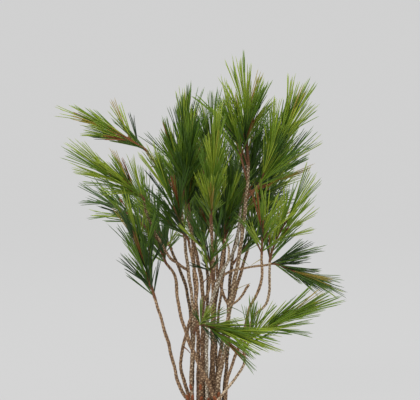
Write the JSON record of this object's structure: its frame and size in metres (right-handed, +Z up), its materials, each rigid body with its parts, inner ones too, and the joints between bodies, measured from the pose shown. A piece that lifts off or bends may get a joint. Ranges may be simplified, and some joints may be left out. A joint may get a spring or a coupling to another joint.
{
  "type": "eastern white pine",
  "caption": "Young white pine that grows as a clump from one low trunk: many thin bare stems, with brushes of long needles at their tips.",
  "frame": {"origin": "middle of the flat cut under the trunk, at ground level", "axes": "+Z up, X to the right and +Y away from someone who stands in front of the plant"},
  "size_m": [0.5187, 0.4417, 0.6662],
  "materials": {
    "bark": "rough brown bark with raised leaf scars",
    "grey_bark": "pale weathered bark",
    "needles": "satin green needles"
  },
  "bodies": {
    "root": {"trunk": "bark", "limb_west_outer": "bark", "limb_west_bow": "bark", "limb_west_cross": "bark", "limb_west_tall": "bark", "limb_west_side": "bark", "limb_centre_left": "bark", "limb_centre_link": "bark", "limb_centre": "bark", "limb_centre_grey": "grey_bark", "limb_centre_spur": "grey_bark", "limb_centre_thin": "bark", "limb_centre_back": "bark", "limb_right_tall": "bark", "limb_right_fork": "bark", "limb_right_stub": "bark", "limb_right_dark": "bark", "limb_right_inner_bow": "bark", "limb_right_outer_bow": "bark", "limb_right_low_arch": "bark", "limb_back_top": "bark", "limb_back_left": "bark", "limb_back_low": "bark", "limb_back_far": "bark", "limb_back_right": "bark", "needles_upper_left": "needles", "needles_left_upper": "needles", "needles_left_middle": "needles", "needles_left_lower": "needles", "needles_left_inner": "needles", "needles_crown_left": "needles", "needles_crown_left_spire": "needles", "needles_crown_left_low": "needles", "needles_crown_front": "needles", "needles_crown_top": "needles", "needles_crown_top_left": "needles", "needles_crown_middle": "needles", "needles_crown_right": "needles", "needles_right_behind": "needles", "needles_right_upper": "needles", "needles_right_middle": "needles", "needles_right_inside": "needles", "needles_right_arch": "needles", "needles_front_low_left": "needles", "needles_front_low_right": "needles", "needles_crown_low": "needles", "needles_crown_inner": "needles", "needles_crown_heart": "needles", "needles_crown_behind": "needles", "needles_crown_back": "needles", "needles_back_crown_top": "needles", "needles_back_left_brush": "needles", "needles_back_low_brush": "needles", "needles_back_far_brush": "needles", "needles_back_right_brush": "needles"}
  },
  "joints": []
}
